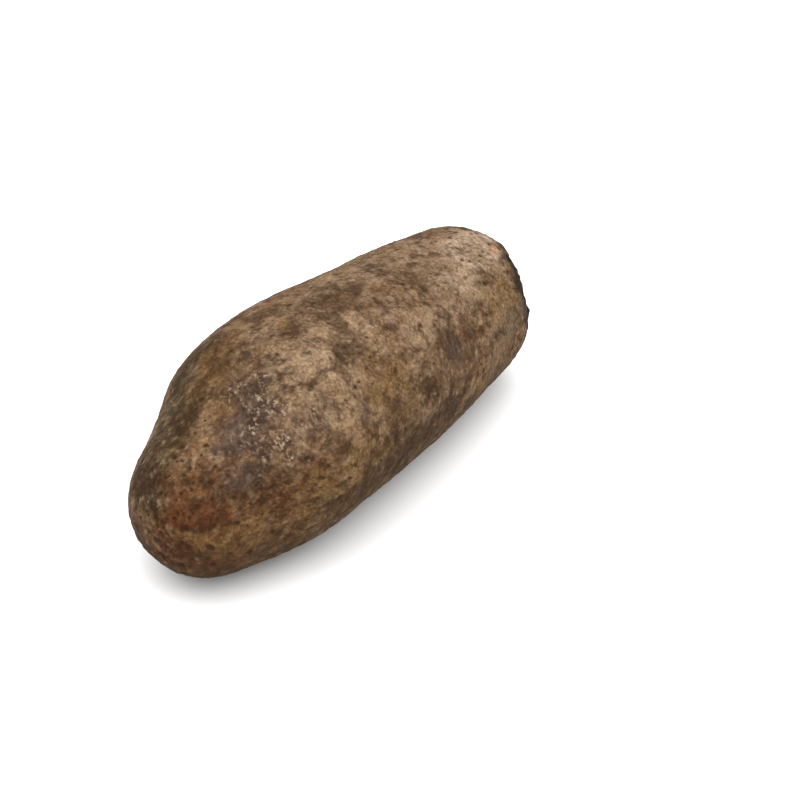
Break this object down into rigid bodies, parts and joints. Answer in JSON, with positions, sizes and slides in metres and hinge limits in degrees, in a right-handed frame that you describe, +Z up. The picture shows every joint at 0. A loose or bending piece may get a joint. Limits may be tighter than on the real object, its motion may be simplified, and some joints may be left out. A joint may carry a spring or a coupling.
{
  "type": "yam tuber",
  "caption": "Whole yam tuber lying on its side: a blunt log-shaped root crop with rough brown corky skin, a narrower rounded tail and a scarred crown.",
  "frame": {"origin": "on the surface that the tuber rests on, under the middle of its bounding box", "axes": "+X along the tuber from its tail to its crown, +Z up from the resting surface"},
  "size_m": [0.2814, 0.1128, 0.1037],
  "materials": {
    "corky_skin": "matte"
  },
  "bodies": {
    "root": {"yam_tuber": "corky_skin"}
  },
  "joints": []
}
